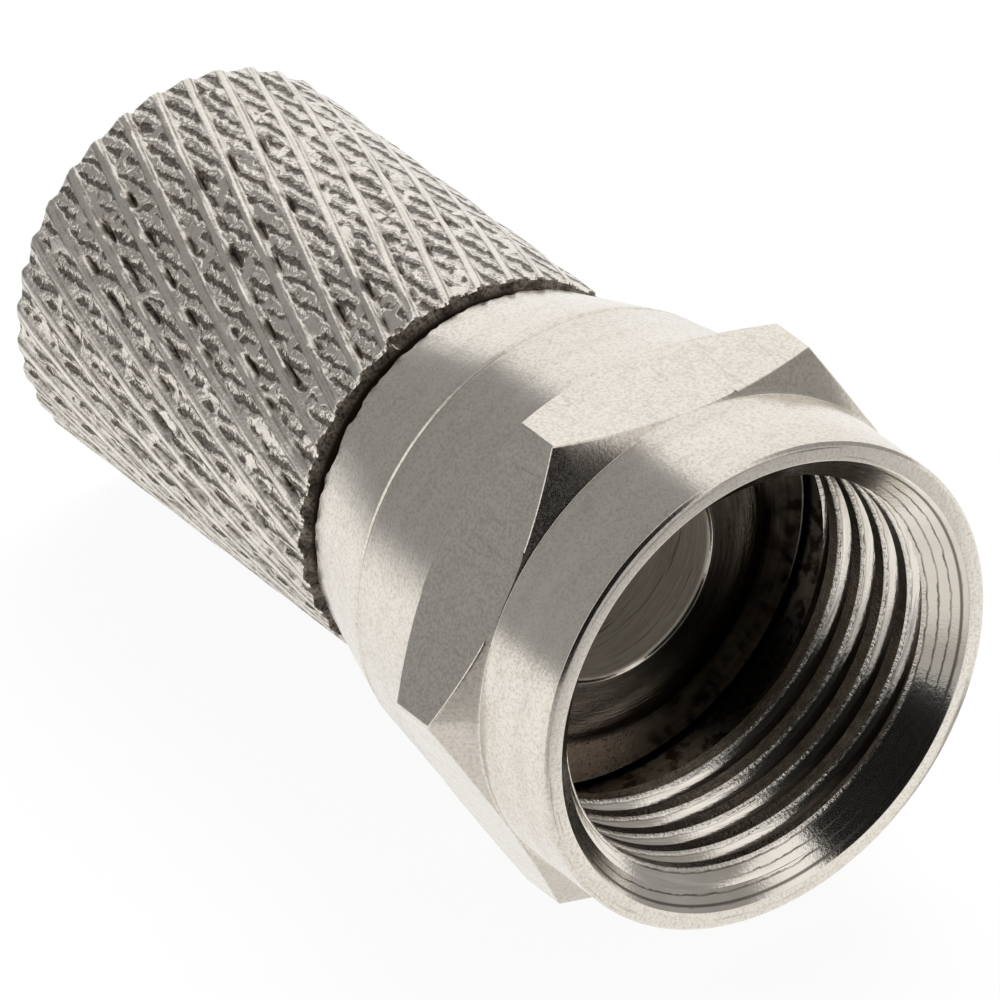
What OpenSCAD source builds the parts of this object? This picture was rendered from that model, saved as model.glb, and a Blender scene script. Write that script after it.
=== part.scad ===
// F connector, twist-on cable plug: a threaded hexagonal coupling nut that turns on the
// flanged neck of a knurled one-piece body. The connector lies along X with its mouth
// towards +X and a flat of the hexagon facing up. The origin is on the axis, in the plane
// of the mouth, so every depth below is measured back from the mouth.

/* [Mating thread] */
// Major diameter of the mating thread
thread_d = 9.525; // [9:0.005:10]
// Pitch of the mating thread
thread_pitch = 0.794; // [0.6:0.002:1]
// Depth behind the mouth at which the thread ends
thread_end = 4.2; // [3.6:0.05:4.6]
// Step of the lead-in outside the thread, on the radius
mouth_flare = 0.24; // [0.1:0.01:0.4]
// Length of the run-out behind the thread
runout_len = 0.25; // [0.1:0.05:0.4]

/* [Coupling nut] */
// Width of the flat rim around the mouth
rim_w = 0.475; // [0.35:0.005:0.9]
// Edge break on the rim, inside and outside
rim_break = 0.07; // [0.02:0.01:0.12]
// Length of the plain collar in front of the hexagon
collar_len = 2.28; // [1.6:0.02:2.8]
// Width of the hexagon across its flats
across_flats = 11; // [10.96:0.02:12.4]
// Length of the hexagon, at the middle of a flat
hex_len = 2.39; // [1.9:0.01:2.6]
// Angle of the chamfer on the front corners, from square
front_chamfer = 33; // [20:1:38]
// Angle of the chamfer on the rear corners, from square
rear_chamfer = 40; // [20:1:42]
// Overall length of the nut
nut_len = 9.78; // [9.2:0.02:11]
// Depth behind the mouth at which the skirt bends inwards
crease_at = 7.08; // [6.6:0.02:8]
// Wall of the skirt where it bends
skirt_wall = 0.5; // [0.4:0.01:0.7]
// Wall of the rolled lip at the rear
lip_wall = 0.39; // [0.3:0.01:0.6]
// Length of the bore that runs on the neck
lip_land = 0.45; // [0.3:0.05:0.8]
// Diameter of the bore that runs on the neck
lip_bore_d = 7.5; // [6.6:0.05:7.8]

/* [Body] */
// Depth behind the mouth of the face that the mating part meets
seat_depth = 5.25; // [4.95:0.05:5.6]
// Diameter of the flange that holds the nut
flange_d = 9.7; // [9:0.05:9.8]
// Thickness of the flange at its edge
flange_t = 0.75; // [0.5:0.05:0.9]
// Diameter of the flat part of the flange face
land_d = 7.6; // [6.5:0.1:8.5]
// Setback of the flange face at its edge
land_drop = 0.12; // [0.05:0.01:0.25]
// Length of the knurled sleeve
sleeve_len = 10.35; // [8:0.05:14]
// Diameter over the knurl
sleeve_d = 8.84; // [8.5:0.02:10]

/* [Knurl] */
// Number of ridges around the sleeve
knurl_count = 34; // [24:1:44]
// Lean of the main ridges from the axis
knurl_lean = 21; // [10:1:30]
// Spacing of the crossings along the axis
knurl_row = 1.11; // [0.8:0.01:2]
// Depth of the pits between the ridges
knurl_depth = 0.26; // [0.15:0.01:0.32]
// How far the crossing ridges lie below the main ones
cross_drop = 0.1; // [0:0.01:0.14]

/* [Cable passage] */
// Diameter of the bore for the core insulation
core_bore_d = 4.75; // [4:0.05:5.2]
// Edge break where that bore meets the flange face
core_break = 0.08; // [0.02:0.01:0.2]
// Diameter of the bore for the cable jacket
jacket_bore_d = 6.8; // [6:0.05:7]
// Depth of the jacket bore from the rear face
jacket_depth = 8; // [5:0.1:9]
// Angle of the step between the two bores, from square
step_angle = 31; // [0:1:45]
// Diameter of the lead-in at the rear face
entry_d = 7.7; // [7.2:0.05:7.9]
// Length of that lead-in
entry_len = 0.5; // [0.2:0.05:1]

/* [Clearances] */
// Between the neck and the bore of the lip, on the radius
running_clearance = 0.05; // [0.02:0.01:0.1]
// Between the flange and the nut around it, on the radius
flange_clearance = 0.1; // [0.05:0.01:0.15]
// Between the back of the flange and the bend of the nut
flange_play = 0.12; // [0.05:0.01:0.3]
// Between the lip and the front face of the sleeve
shoulder_gap = 0.27; // [0.15:0.01:0.5]

/* [Hidden] */
$fn = 128;

// A sharp 60 degree thread leaves this share of its pitch on each side of the crest.
minor_r = thread_d / 2 - 0.5413 * thread_pitch;
mouth_r = thread_d / 2 + mouth_flare;
collar_r = mouth_r + rim_w;
flat_r = across_flats / 2;
corner_r = flat_r / cos(30);
hex_rear = collar_len + hex_len;

flange_r = flange_d / 2;
flange_rear = seat_depth + land_drop + flange_t;
relief_r = flange_r + flange_clearance;
relief_end = flange_rear + flange_play;
lip_r = lip_bore_d / 2;
lip_start = nut_len - lip_land;
neck_r = lip_r - running_clearance;

// The inside of the skirt closes in along one straight cone, from the relief to the lip.
skirt_slope = (relief_r - lip_r) / (lip_start - relief_end);
crease_r = relief_r - skirt_slope * (crease_at - relief_end) + skirt_wall;
lip_outer_r = lip_r + lip_wall;
lip_break = lip_wall / 3;

sleeve_front = nut_len + shoulder_gap;
overall = sleeve_front + sleeve_len;
core_r = core_bore_d / 2;
jacket_r = jacket_bore_d / 2;
jacket_start = overall - jacket_depth;
core_end = jacket_start - (jacket_r - core_r) * tan(step_angle);

// The knurl is a net of ridges on a grid of thirds: one line of points along the crest of
// a ridge, then two in the pits, both ways.
thirds = 3;
knurl_sides = thirds * knurl_count;
knurl_rings = round(thirds * sleeve_len / knurl_row);
ring_step = sleeve_len / knurl_rings;
ring_turn = ring_step * tan(knurl_lean) / (sleeve_d / 2) * 180 / PI;

overcut = 1;
plated = [0.78, 0.77, 0.73];
plated_dark = [0.70, 0.69, 0.66];

// Lays a shape that was drawn around Z along the connector, with Z towards the mouth.
module along_axis() {
    rotate([0, 90, 0]) children();
}

// Turns an outline of [radius, depth behind the mouth] points.
module turned(outline) {
    along_axis() rotate_extrude() polygon([for (p = outline) [p[0], -p[1]]]);
}

// Knurled sleeve -----------------------------------------------------------------------

// Depth of the net at side i of ring j. A main ridge keeps to one side number, and a
// crossing ridge drops back by one side with every ring.
function net_depth(i, j) =
    i % thirds == 0 ? 0 :
    (i + j) % thirds == 0 ? cross_drop : knurl_depth;

function net_point(i, j) =
    let (r = sleeve_d / 2 - net_depth(i, j))
    let (a = i * 360 / knurl_sides + j * ring_turn)
    [r * cos(a), r * sin(a), j * ring_step - overall];

function net_index(i, j) = j * knurl_sides + i % knurl_sides;

module knurled_sleeve() {
    net = [
        for (j = [0 : knurl_rings])
            for (i = [0 : knurl_sides - 1])
                net_point(i, j)
    ];
    rear_middle = len(net);
    front_middle = rear_middle + 1;
    skin = [
        for (j = [0 : knurl_rings - 1])
            for (i = [0 : knurl_sides - 1])
                each [
                    [net_index(i, j), net_index(i, j + 1), net_index(i + 1, j)],
                    [net_index(i + 1, j), net_index(i, j + 1), net_index(i + 1, j + 1)]
                ]
    ];
    ends = [
        for (i = [0 : knurl_sides - 1])
            each [
                [rear_middle, net_index(i, 0), net_index(i + 1, 0)],
                [front_middle, net_index(i + 1, knurl_rings), net_index(i, knurl_rings)]
            ]
    ];
    middles = [[0, 0, -overall], [0, 0, -sleeve_front]];
    along_axis() polyhedron(concat(net, middles), concat(skin, ends), convexity = 4);
}

// Flange and neck in front of the sleeve. The neck is rooted in the sleeve.
module flanged_neck() {
    turned([
        [0, seat_depth],
        [land_d / 2, seat_depth],
        [flange_r, seat_depth + land_drop],
        [flange_r, flange_rear],
        [neck_r, flange_rear],
        [neck_r, sleeve_front + overcut],
        [0, sleeve_front + overcut]
    ]);
}

// The way through for the cable: jacket bore at the rear, core bore through the flange.
module cable_passage() {
    turned([
        [0, seat_depth - overcut],
        [core_r + core_break, seat_depth - overcut],
        [core_r + core_break, seat_depth],
        [core_r, seat_depth + core_break],
        [core_r, core_end],
        [jacket_r, jacket_start],
        [jacket_r, overall - entry_len],
        [entry_d / 2, overall],
        [entry_d / 2, overall + overcut],
        [0, overall + overcut]
    ]);
}

module body() {
    color(plated_dark)
    difference() {
        union() {
            knurled_sleeve();
            flanged_neck();
        }
        cable_passage();
    }
}

// Coupling nut -------------------------------------------------------------------------

// Collar, and the skirt that is rolled in behind the flange.
module collar_and_skirt() {
    turned([
        [0, 0],
        [collar_r - rim_break, 0],
        [collar_r, rim_break],
        [collar_r, collar_len],
        [flat_r, hex_rear],
        [crease_r, crease_at],
        [lip_outer_r, nut_len - lip_break],
        [lip_outer_r - lip_break, nut_len],
        [0, nut_len]
    ]);
}

// Hexagon with its corners turned off at the front and the rear.
module chamfered_hexagon() {
    corner_h = corner_r - collar_r;
    intersection() {
        along_axis()
        rotate(30)
        translate([0, 0, -hex_rear - corner_h])
        linear_extrude(hex_len + 2 * corner_h) circle(corner_r, $fn = 6);
        turned([
            [0, collar_len],
            [collar_r, collar_len],
            [corner_r, collar_len + corner_h * tan(front_chamfer)],
            [corner_r, hex_rear - (corner_r - flat_r) * tan(rear_chamfer)],
            [flat_r, hex_rear],
            [0, hex_rear]
        ]);
    }
}

// The hollow of the nut: lead-in, thread at its minor diameter, relief round the flange,
// inward cone and the bore of the lip.
module nut_hollow() {
    turned([
        [0, -overcut],
        [mouth_r + rim_break, -overcut],
        [mouth_r + rim_break, 0],
        [mouth_r, rim_break],
        [minor_r, rim_break + mouth_r - minor_r],
        [minor_r, thread_end],
        [relief_r, thread_end + runout_len],
        [relief_r, relief_end],
        [lip_r, lip_start],
        [lip_r, nut_len + overcut],
        [0, nut_len + overcut]
    ]);
}

module coupling_nut() {
    color(plated)
    difference() {
        union() {
            collar_and_skirt();
            chamfered_hexagon();
        }
        nut_hollow();
    }
}

body();
coupling_nut();
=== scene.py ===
"""Twist-on coaxial connector: a knurled sleeve with a flanged neck, and a hexagon coupling nut
that turns freely on the neck. Both are turned from brass and nickel plated."""

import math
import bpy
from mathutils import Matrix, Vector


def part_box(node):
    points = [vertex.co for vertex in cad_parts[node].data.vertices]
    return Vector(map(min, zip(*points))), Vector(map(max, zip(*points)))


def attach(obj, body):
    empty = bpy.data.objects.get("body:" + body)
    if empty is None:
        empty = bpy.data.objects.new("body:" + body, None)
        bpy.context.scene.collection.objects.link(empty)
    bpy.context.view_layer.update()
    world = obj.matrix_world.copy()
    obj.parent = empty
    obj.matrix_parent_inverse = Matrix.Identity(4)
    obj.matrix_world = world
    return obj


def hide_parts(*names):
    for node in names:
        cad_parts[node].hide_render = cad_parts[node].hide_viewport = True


bl_info = {
    "name": "Twist-on coaxial connector",
    "version": (1, 0, 0),
    "blender": (4, 5, 0),
    "location": "3D View > Sidebar > Connector",
    "description": "Models a threaded coupling nut and a knurled cable sleeve around their CAD solids",
    "category": "Add Mesh",
}

from types import SimpleNamespace

import bmesh
import bpy
import numpy as np
from mathutils import Vector

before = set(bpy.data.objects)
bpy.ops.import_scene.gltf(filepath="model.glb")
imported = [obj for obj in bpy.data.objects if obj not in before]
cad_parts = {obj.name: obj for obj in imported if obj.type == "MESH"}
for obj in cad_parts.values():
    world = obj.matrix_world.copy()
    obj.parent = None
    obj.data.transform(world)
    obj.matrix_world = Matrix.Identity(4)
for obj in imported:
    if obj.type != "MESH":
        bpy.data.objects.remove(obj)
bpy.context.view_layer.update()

MM = 0.001
NUT_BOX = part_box("coupling_nut")
BODY_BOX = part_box("body")
MOUTH_X = NUT_BOX[1][0]
REAR_X = BODY_BOX[0][0]

MERGE = 0.002 * MM

# Steps of a full turn of the lathe and of a thread, and of one rounded corner.
TURN_STEPS = 240
THREAD_STEPS = 96
ARC_STEPS = 3


# Sizes and finishes ---------------------------------------------------------------------


def length(name, description, default_mm):
    """A length property. Its default is written in millimetres."""
    return bpy.props.FloatProperty(
        name=name, description=description, default=default_mm * MM,
        min=0.0, precision=5, subtype="DISTANCE", unit="LENGTH",
    )


def angle(name, description, default_deg):
    """An angle property. Its default is written in degrees."""
    return bpy.props.FloatProperty(
        name=name, description=description, default=math.radians(default_deg), subtype="ANGLE",
    )


def share(name, description, default):
    """A property from 0 to 1."""
    return bpy.props.FloatProperty(
        name=name, description=description, default=default, min=0.0, max=1.0, subtype="FACTOR",
    )


def colour(name, description, default):
    """A colour property."""
    return bpy.props.FloatVectorProperty(
        name=name, description=description, default=default, size=3,
        min=0.0, max=1.0, subtype="COLOR",
    )


def number(name, description, default, unit):
    """A number with a unit."""
    return bpy.props.FloatProperty(name=name, description=description, default=default, unit=unit)


def vector(name, description, default, subtype):
    """A place or a direction."""
    return bpy.props.FloatVectorProperty(
        name=name, description=description, default=default, size=3, precision=5, subtype=subtype,
    )


class ConnectorNutSizes(bpy.types.PropertyGroup):
    """Sizes of the coupling nut."""

    across_flats: length("Across flats", "Distance between opposite flats of the hexagon", 11.0)
    mouth_d: length("Mouth diameter", "Where the countersink meets the front rim", 10.005)
    collar_d: length("Collar diameter", "Plain turned collar in front of the hexagon", 10.955)
    collar_len: length("Collar length", "From the mouth to the front chamfer of the hexagon", 2.28)
    hex_rear: length("Hexagon rear", "Depth of the rear edge of the hexagon", 4.67)
    front_chamfer: angle("Front chamfer", "Slope of the hexagon's front chamfer from square", 33)
    rear_chamfer: angle("Rear chamfer", "Slope of the hexagon's rear chamfer from square", 40)
    crease_at: length("Crease depth", "Where the skirt bends inwards", 7.08)
    crease_d: length("Crease diameter", "Diameter of the skirt at the bend", 10.25)
    nut_len: length("Nut length", "From the mouth to the end of the rolled lip", 9.78)
    lip_outer_d: length("Lip outer diameter", "Outside of the rolled lip", 8.62)
    lip_bore_d: length("Lip bore", "Hole in the rolled lip, around the neck", 7.5)
    relief_d: length("Relief diameter", "Plain bore behind the thread, around the flange", 9.9)
    thread_d: length("Thread diameter", "Root diameter of the coupling thread", 9.525)
    thread_pitch: length("Thread pitch", "Advance of the coupling thread in one turn", 0.794)
    thread_crest_d: length("Thread crest diameter", "Bore that the thread is cut in", 8.76)
    thread_end: length("Thread end", "Depth where the thread runs out", 4.2)
    edge_break: length("Edge break", "Width of the broken edges of the hexagon", 0.05)
    lip_waviness: length("Lip waviness", "How far the edge of the rolled lip wanders", 0.15)


class ConnectorBodySizes(bpy.types.PropertyGroup):
    """Sizes of the body: flange, neck, knurled sleeve and its bores."""

    seat_depth: length("Seat depth", "From the mouth to the face of the flange", 5.25)
    land_d: length("Land diameter", "Flat middle of the flange face", 7.6)
    land_drop: length("Land drop", "How far the flange's edge lies behind the land", 0.12)
    flange_d: length("Flange diameter", "Outside of the flange", 9.7)
    flange_rear: length("Flange rear", "Depth of the back of the flange", 6.12)
    neck_d: length("Neck diameter", "Neck between the flange and the sleeve", 7.4)
    sleeve_front: length("Sleeve front", "Depth of the front face of the sleeve", 10.05)
    sleeve_d: length("Sleeve diameter", "Over the ridges of the knurl", 8.84)
    core_bore_d: length("Core bore", "Bore through the flange for the core insulation", 4.75)
    core_end: length("Core bore end", "Depth where the core bore opens out", 11.784)
    jacket_bore_d: length("Jacket bore", "Bore that grips the cable jacket", 6.8)
    jacket_start: length("Jacket bore start", "Depth where the jacket bore begins", 12.4)
    entry_d: length("Entry diameter", "Lead-in at the rear face", 7.7)
    entry_len: length("Entry length", "Length of that lead-in", 0.5)
    jacket_pitch: length("Jacket thread pitch", "Coarse thread that bites into the jacket", 1.0)
    jacket_root_d: length("Jacket thread root", "Root diameter of that thread", 7.4)
    knurl_count: bpy.props.IntProperty(
        name="Ridges", description="Number of knurl ridges around the sleeve", default=34, min=12,
    )
    knurl_lean: angle("Ridge lean", "Lean of the main ridges from the axis", 21)
    knurl_row: length("Crossing spacing", "Spacing of the crossings along the axis", 1.109)
    knurl_depth: length("Knurl depth", "Depth of the pits between the ridges", 0.25)
    cross_drop: length("Crossing drop", "How far the crossing grooves cut into the flanks", 0.025)
    ridge_land: length("Ridge land", "Width of the flat top of a main ridge", 0.11)


class ConnectorFinish(bpy.types.PropertyGroup):
    """Colours and gloss of the plating."""

    nickel: colour("Nickel", "Colour of clean nickel plating", (0.86, 0.815, 0.74))
    nickel_dull: colour("Dull nickel", "Colour of the duller patches", (0.56, 0.5, 0.42))
    # The residue colour also serves as painted shade in grooves, thread roots, knurl slots and the
    # gap.
    shade_and_residue: colour("Residue", "Cutting oil and dust left in corners", (0.045, 0.03, 0.018))
    film: colour("Film", "Brown film on the flange", (0.78, 0.57, 0.41))
    gloss_turned: share("Turned roughness", "Roughness of the turned outside", 0.19)
    gloss_flat: share("Flat roughness", "Roughness of the hexagon flats", 0.18)
    gloss_inside: share("Inside roughness", "Roughness of bores and thread", 0.13)
    gloss_knurl: share("Knurl roughness", "Roughness of the knurled ridges", 0.16)


class ConnectorStudio(bpy.types.PropertyGroup):
    """Camera, light and floor."""

    lens: number("Focal length", "Focal length on a 36 mm wide sensor", 794.48, "CAMERA")
    camera_place: vector("Camera place", "Where the camera stands",
                         (0.302437, -0.217822, 0.242127), "TRANSLATION")
    camera_look: vector("Camera direction", "Direction the camera looks in",
                        (-0.691219, 0.483024, -0.537499), "DIRECTION")
    camera_roll: angle("Camera roll", "Turn of the camera about its view", -0.87)
    world_level: share("Room light", "Strength of the light from all round", 0.55)
    key_power: number("Key light power", "Power of the soft key light", 6.0, "POWER")
    floor_white: share("Floor whiteness", "How far the floor is lifted to plain white", 0.93)


# Modelling helpers ----------------------------------------------------------------------


def setting_names(settings):
    """Names of the properties in a group of settings."""
    return [name for name in settings.bl_rna.properties.keys() if name not in ("rna_type", "name")]


def in_mm(settings):
    """The settings with their lengths in millimetres, and a radius _r for every diameter _d."""
    values = SimpleNamespace()
    for name in setting_names(settings):
        value = getattr(settings, name)
        if settings.bl_rna.properties[name].unit == "LENGTH":
            value /= MM
        setattr(values, name, value)
        if name.endswith("_d"):
            setattr(values, name[:-2] + "_r", value / 2)
    return values


def deselect_all():
    """Nothing selected and nothing active."""
    if bpy.context.object and bpy.context.object.mode != "OBJECT":
        bpy.ops.object.mode_set(mode="OBJECT")
    bpy.ops.object.select_all(action="DESELECT")


def make_active(obj):
    """Only this object selected, and active."""
    deselect_all()
    obj.select_set(True)
    bpy.context.view_layer.objects.active = obj


def edit(obj, action="DESELECT"):
    """Enters edit mode on this object with nothing of its mesh selected, or with all of it."""
    make_active(obj)
    bpy.ops.object.mode_set(mode="EDIT")
    bpy.ops.mesh.select_all(action=action)


def leave_edit():
    bpy.ops.object.mode_set(mode="OBJECT")


def pick(obj, kind, wanted):
    """In edit mode, selects the edges or faces for which wanted is true, and counts them."""
    bpy.ops.mesh.select_mode(type=kind)
    mesh = bmesh.from_edit_mesh(obj.data)
    count = 0
    for element in mesh.edges if kind == "EDGE" else mesh.faces:
        element.select_set(bool(wanted(element)))
        count += element.select
    mesh.select_flush_mode()
    bmesh.update_edit_mesh(obj.data)
    return count


def clean(obj):
    """Merges doubles and turns all faces outwards."""
    edit(obj, "SELECT")
    bpy.ops.mesh.remove_doubles(threshold=MERGE)
    bpy.ops.mesh.normals_make_consistent(inside=False)
    leave_edit()


def added(name):
    """The object just added, named, with its place and turn applied to its mesh."""
    obj = bpy.context.object
    obj.name = name
    bpy.ops.object.transform_apply(location=True, rotation=True, scale=True)
    return obj


def modify(obj, kind, **settings):
    """Adds a modifier with these settings and applies it."""
    make_active(obj)
    modifier = obj.modifiers.new(kind, kind)
    for key, value in settings.items():
        setattr(modifier, key, value)
    bpy.ops.object.modifier_apply(modifier=modifier.name)


def at(depth, radius):
    """The point above the axis at this depth behind the mouth and this radius, in metres."""
    return Vector((MOUTH_X - depth, 0.0, radius))


def rounded(corners):
    """Points of an outline of (depth, radius, round) corners in millimetres, where each corner
    with a round is replaced by an arc of about that radius."""
    points = []
    for i, (depth, radius, size) in enumerate(corners):
        here = Vector((depth, radius))
        if not size:
            points.append(here * MM)
            continue
        before = Vector(corners[i - 1][:2]) - here
        after = Vector(corners[(i + 1) % len(corners)][:2]) - here
        half = before.angle(after) / 2
        reach = min(size / math.tan(half), 0.45 * before.length, 0.45 * after.length)
        start = here + before.normalized() * reach
        end = here + after.normalized() * reach
        for k in range(ARC_STEPS + 1):
            t = k / ARC_STEPS
            point = (1 - t) ** 2 * start + 2 * t * (1 - t) * here + t * t * end
            points.append(point * MM)
    return points


def draw_closed(name, points):
    """Draws a closed wire of (depth, radius) points above the axis, one corner after another."""
    deselect_all()
    bpy.ops.mesh.primitive_plane_add(size=MM, location=at(*points[0]))
    obj = added(name)
    bpy.ops.object.mode_set(mode="EDIT")
    bpy.ops.mesh.select_mode(type="VERT")
    bpy.ops.mesh.select_all(action="SELECT")
    bpy.ops.mesh.merge(type="CENTER")
    for here, there in zip(points, points[1:] + points[:1]):
        step = at(*there) - at(*here)
        bpy.ops.mesh.extrude_vertices_move(TRANSFORM_OT_translate={"value": step})
    bpy.ops.mesh.select_all(action="SELECT")
    bpy.ops.mesh.remove_doubles(threshold=MERGE)
    leave_edit()
    return obj


def lathe(name, points):
    """Turns a closed outline about the axis."""
    obj = draw_closed(name, points)
    edit(obj, "SELECT")
    bpy.ops.mesh.spin(steps=TURN_STEPS, angle=math.tau, center=(0, 0, 0), axis=(1, 0, 0))
    leave_edit()
    clean(obj)
    return obj


def combine(obj, tool, operation):
    """Cuts obj with tool, or keeps what both share, and removes the tool."""
    modify(obj, "BOOLEAN", operation=operation, solver="EXACT", object=tool)
    bpy.data.objects.remove(tool, do_unlink=True)
    clean(obj)


def thread_cutter(name, start, turns, pitch, crest_r, root_r, root_flat):
    """A right-hand thread form of 60 degrees, from start towards the rear. It reaches inside
    the crest, and flares there so that the crests come out with broken edges."""
    flare = 0.04 * MM
    flank = math.tan(math.radians(30))
    low = crest_r + flare
    half_low = root_flat / 2 + (root_r - low) * flank
    half_mouth = half_low + 1.7 * flare
    inner = crest_r - flare / 2
    inmost = inner - 0.3 * MM
    outline = [
        (-root_flat / 2, root_r), (root_flat / 2, root_r),
        (half_low, low), (half_mouth, inner), (half_mouth, inmost),
        (-half_mouth, inmost), (-half_mouth, inner), (-half_low, low),
    ]
    obj = draw_closed(name, [(start + depth, radius) for depth, radius in outline])
    modify(obj, "SCREW", axis="X", angle=-math.tau, screw_offset=-pitch, iterations=turns,
           steps=THREAD_STEPS, render_steps=THREAD_STEPS)
    edit(obj, "SELECT")
    bpy.ops.mesh.fill_holes(sides=0)
    leave_edit()
    clean(obj)
    return obj


def paint(obj, materials, chosen):
    """Gives each face the material that chosen(depth, radius, forward, outward) names. Depth
    and radius are in millimetres, forward and outward are parts of the face's normal."""
    names = list(materials)
    for material in materials.values():
        obj.data.materials.append(material)
    for face in obj.data.polygons:
        x, y, z = face.center
        depth, radius = (MOUTH_X - x) / MM, math.hypot(y, z) / MM
        outward = (face.normal.y * y + face.normal.z * z) / math.hypot(y, z)
        face.material_index = names.index(chosen(depth, radius, face.normal.x, outward))


def shade(obj, degrees):
    """Smooth shading, sharp above this angle, weighted so that wide faces stay flat. Faces of
    five and more corners are split at the end, so that no diagonal falls on another edge."""
    make_active(obj)
    bpy.ops.object.shade_smooth_by_angle(angle=math.radians(degrees))
    modify(obj, "WEIGHTED_NORMAL", keep_sharp=True, weight=80)
    modify(obj, "TRIANGULATE", min_vertices=5, ngon_method="BEAUTY", keep_custom_normals=True)


# Materials ------------------------------------------------------------------------------


class Nodes:
    """Adds and joins nodes in one tree."""

    def __init__(self, tree):
        self.tree = tree
        self.column = 0

    def add(self, kind, *sources, **settings):
        """Adds a node, applies its settings, and joins or sets its inputs in order."""
        node = self.tree.nodes.new("ShaderNode" + kind)
        node.location = (self.column * 180, 0)
        self.column += 1
        for key, value in settings.items():
            setattr(node, key, value)
        for socket, source in zip(node.inputs, sources):
            self.give(socket, source)
        return node

    def give(self, socket, source):
        """Joins a source to a socket, or sets the socket's own value."""
        if source is None:
            return
        if isinstance(source, bpy.types.NodeSocket):
            self.tree.links.new(source, socket)
        elif isinstance(source, bpy.types.Node):
            self.tree.links.new(source.outputs[0], socket)
        else:
            socket.default_value = source

    def fill(self, node, sources):
        """Joins or sets the inputs that sources names or numbers."""
        for key, source in sources.items():
            self.give(node.inputs[key], source)
        return node

    def group(self, name, *sources):
        """Outputs of a node group."""
        return self.add("Group", *sources, node_tree=bpy.data.node_groups[name]).outputs

    def math(self, operation, *sources):
        return self.add("Math", *sources, operation=operation).outputs[0]

    def chain(self, operation, first, *others):
        """One operation on many values, from the left."""
        for other in others:
            first = self.math(operation, first, other)
        return first

    def times(self, *values):
        return self.chain("MULTIPLY", *values)

    def plus(self, *values):
        return self.chain("ADD", *values)

    def minus(self, *values):
        return self.chain("SUBTRACT", *values)

    def most(self, *values):
        return self.chain("MAXIMUM", *values)

    def off(self, value, middle):
        """How far a value is off a middle one."""
        return self.math("ABSOLUTE", self.minus(value, middle))

    def spread(self, source, low, high, to_low=0.0, to_high=1.0, kind="SMOOTHSTEP"):
        """Maps low..high of a value to to_low..to_high."""
        return self.add("MapRange", source, low, high, to_low, to_high,
                        interpolation_type=kind).outputs[0]

    def mix(self, factor, first, second):
        """Mixes two colours."""
        node = self.add("Mix", data_type="RGBA")
        return self.fill(node, {"Factor": factor, 6: rgba(first), 7: rgba(second)}).outputs[2]

    def noise(self, vector, scale, detail, roughness):
        sources = {"Vector": vector, "Scale": scale, "Detail": detail, "Roughness": roughness}
        return self.fill(self.add("TexNoise"), sources).outputs["Fac"]


def rgba(value):
    """A colour as four numbers. Sockets pass through."""
    if isinstance(value, bpy.types.NodeSocket):
        return value
    return (*tuple(value)[:3], 1.0)


def emptied(owner):
    """The node tree of a material or world, without its nodes."""
    owner.use_nodes = True
    owner.node_tree.nodes.clear()
    return owner.node_tree


def new_group(name, setting, outputs):
    """A shader node group that turns a place, and a setting where there is one, into floats."""
    tree = bpy.data.node_groups.new(name, "ShaderNodeTree")
    tree.interface.new_socket("Vector", in_out="INPUT", socket_type="NodeSocketVector")
    if setting:
        label, default = setting
        socket = tree.interface.new_socket(label, in_out="INPUT", socket_type="NodeSocketFloat")
        socket.default_value = default
    for label in outputs:
        tree.interface.new_socket(label, in_out="OUTPUT", socket_type="NodeSocketFloat")
    entry = tree.nodes.new("NodeGroupInput")
    leave = tree.nodes.new("NodeGroupOutput")
    return Nodes(tree), entry.outputs, leave


def axis_group():
    """Depth behind the mouth and radius in millimetres, and turns about the axis."""
    n, inside, leave = new_group("connector_axis", None, ["Depth", "Radius", "Turn"])
    x, y, z = n.add("SeparateXYZ", inside["Vector"]).outputs
    square = n.plus(n.times(y, y), n.times(z, z))
    n.fill(leave, {
        "Depth": n.times(n.minus(MOUTH_X, x), 1 / MM),
        "Radius": n.times(n.math("SQRT", square), 1 / MM),
        "Turn": n.math("DIVIDE", n.math("ARCTAN2", z, y), math.tau),
    })


def turning_group():
    """Fine rings left by the turning tool: a height that changes along the axis and across
    the faces, and hardly round them."""
    n, inside, leave = new_group("turning_marks", ("Rings per mm", 8.0), ["Height", "Bands"])
    depth, radius, turn = n.group("connector_axis", inside["Vector"])
    around = n.times(turn, math.tau)
    fine = n.add("CombineXYZ", n.times(n.plus(depth, radius), inside["Rings per mm"]),
                 n.times(n.math("SINE", around), 0.9), n.times(n.math("COSINE", around), 0.9))
    n.fill(leave, {"Height": n.noise(fine, 1.0, 4.0, 0.7), "Bands": n.noise(fine, 0.22, 2.0, 0.5)})


def mottle_group():
    """Patches, fine grain and small pits of the plating."""
    n, inside, leave = new_group("plating_mottle", ("Patches per mm", 3.0),
                                 ["Patches", "Grain", "Pits"])
    scale = n.times(inside["Patches per mm"], 1 / MM)
    grain = n.noise(inside["Vector"], n.times(scale, 4.5), 3.0, 0.6)
    n.fill(leave, {
        "Patches": n.noise(inside["Vector"], scale, 4.0, 0.6),
        "Grain": grain,
        "Pits": n.spread(grain, 0.33, 0.24),
    })


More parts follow.
